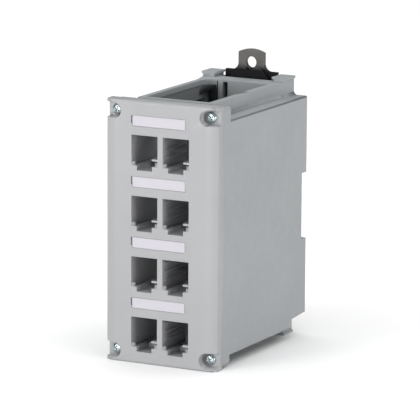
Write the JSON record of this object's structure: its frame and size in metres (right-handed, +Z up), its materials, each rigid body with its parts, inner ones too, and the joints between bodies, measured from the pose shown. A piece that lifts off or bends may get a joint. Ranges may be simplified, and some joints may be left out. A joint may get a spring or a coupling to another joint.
{
  "type": "din rail patch panel",
  "caption": "Tall open-topped housing that hooks on a 35 mm rail, with a screwed front plate for snap-in jacks in two columns, label fields and a spring-loaded rail latch.",
  "frame": {"origin": "on the standing surface, under the middle of the part's box", "axes": "+X to the right seen from the front, +Y back towards the rail, +Z up"},
  "size_m": [0.064, 0.1026, 0.1504],
  "materials": {
    "housing_plastic": "light grey moulded plastic, fine satin grain",
    "plate_plastic": "light grey moulded plastic, fine satin grain",
    "zinc_plated": "bright zinc plating with a faint blue-green tint",
    "label_card": "blank label card, slightly off white",
    "black_plastic": "black moulded nylon, satin",
    "spring_steel": "drawn spring wire"
  },
  "bodies": {
    "panel": {"housing": "housing_plastic", "front_plate": "plate_plastic", "screw_top_left": "zinc_plated", "screw_top_right": "zinc_plated", "screw_bottom_left": "zinc_plated", "screw_bottom_right": "zinc_plated", "label_row_1": "label_card", "label_row_2": "label_card", "label_row_3": "label_card", "label_row_4": "label_card", "latch_spring": "spring_steel"},
    "latch": {"rail_latch": "black_plastic"}
  },
  "joints": [
    {"name": "latch_slide", "type": "slide", "parent": "panel", "child": "latch", "axis": [0, 0, 1], "range_m": [0, 0.004], "stiffness_N_per_m": 800, "springref_m": -0.004, "deforming": ["latch_spring"]}
  ]
}
